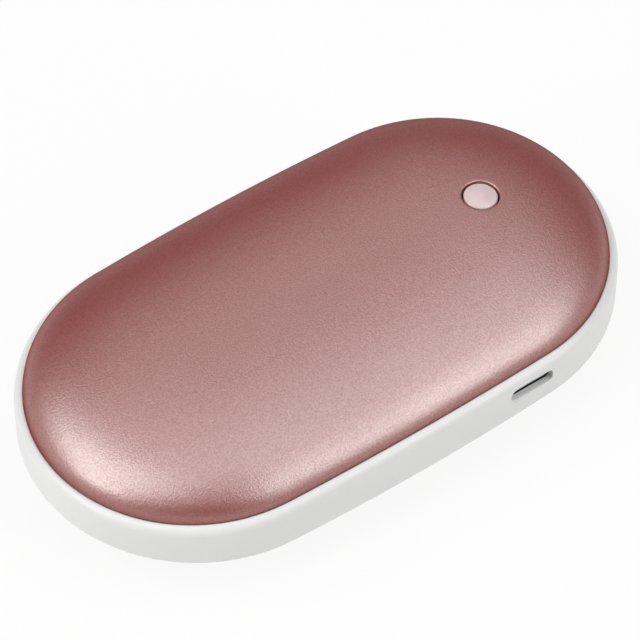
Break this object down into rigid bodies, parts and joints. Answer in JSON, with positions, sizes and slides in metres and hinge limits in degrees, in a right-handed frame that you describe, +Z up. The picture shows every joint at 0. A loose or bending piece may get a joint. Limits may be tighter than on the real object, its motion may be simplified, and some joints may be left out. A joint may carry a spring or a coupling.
{
  "type": "rechargeable hand warmer",
  "caption": "Pocket hand warmer: two domed rose metal shells on a white band, with a push button on the top and a charging socket in one long side.",
  "frame": {"origin": "under the middle of the case, on the surface that its lower crown stands on", "axes": "+X along the case towards the button, -Y through the charging socket, +Z up through the upper crown"},
  "size_m": [0.107, 0.0596, 0.0264],
  "materials": {
    "rose_metal": "blasted and anodised, rose",
    "band_plastic": "satin white moulding",
    "frame_plastic": "natural moulding",
    "button_plastic": "frosted translucent",
    "heater_film": "amber film",
    "heater_track": "etched foil",
    "foam": "closed-cell foam",
    "cell_can": "plated can",
    "cell_sleeve": "shrunk sleeve",
    "insulating_board": "pressed board",
    "nickel": "rolled strip",
    "cradle_plastic": "moulded",
    "board_laminate": "solder mask",
    "socket_metal": "plated sheet",
    "black_plastic": "moulded",
    "gilt_contact": "flash plated",
    "cream_plastic": "moulded",
    "lamp_resin": "clear resin",
    "copper_wire": "enamelled",
    "ferrite": "sintered",
    "capacitor_body": "sintered",
    "resistor_body": "printed",
    "sensor_resin": "dipped",
    "lead_cover": "extruded",
    "screw_steel": "plated"
  },
  "bodies": {
    "case": {"top_shell": "rose_metal", "bottom_shell": "rose_metal", "middle_band": "band_plastic", "top_snap_frame": "frame_plastic", "bottom_snap_frame": "frame_plastic", "button_guide": "cradle_plastic", "top_heater_film": "heater_film", "bottom_heater_film": "heater_film", "top_heater_track": "heater_track", "bottom_heater_track": "heater_track", "top_foam_pad": "foam", "bottom_foam_pad": "foam", "front_cell": "cell_can", "rear_cell": "cell_can", "cell_sleeves": "cell_sleeve", "insulating_rings": "insulating_board", "positive_strip": "nickel", "negative_strip": "nickel", "battery_cradle": "cradle_plastic", "circuit_board": "board_laminate", "socket_shell": "socket_metal", "socket_tongue": "black_plastic", "socket_contacts": "gilt_contact", "switch_body": "black_plastic", "status_lamps": "lamp_resin", "charging_chip": "black_plastic", "control_chip": "black_plastic", "coil_winding": "copper_wire", "coil_core": "ferrite", "power_transistors": "black_plastic", "chip_capacitors": "capacitor_body", "chip_resistors": "resistor_body", "battery_plug": "cream_plastic", "temperature_sensor": "sensor_resin", "battery_leads": "lead_cover", "heater_leads": "lead_cover", "sensor_leads": "lead_cover", "board_screws": "screw_steel", "cradle_screws": "screw_steel"},
    "button": {"button_cap": "button_plastic", "switch_plunger": "cream_plastic"}
  },
  "joints": [
    {"name": "button_press", "type": "slide", "parent": "case", "child": "button", "axis": [0, 0, -1], "range_m": [0, 0.0003], "stiffness_N_per_m": 2500}
  ]
}
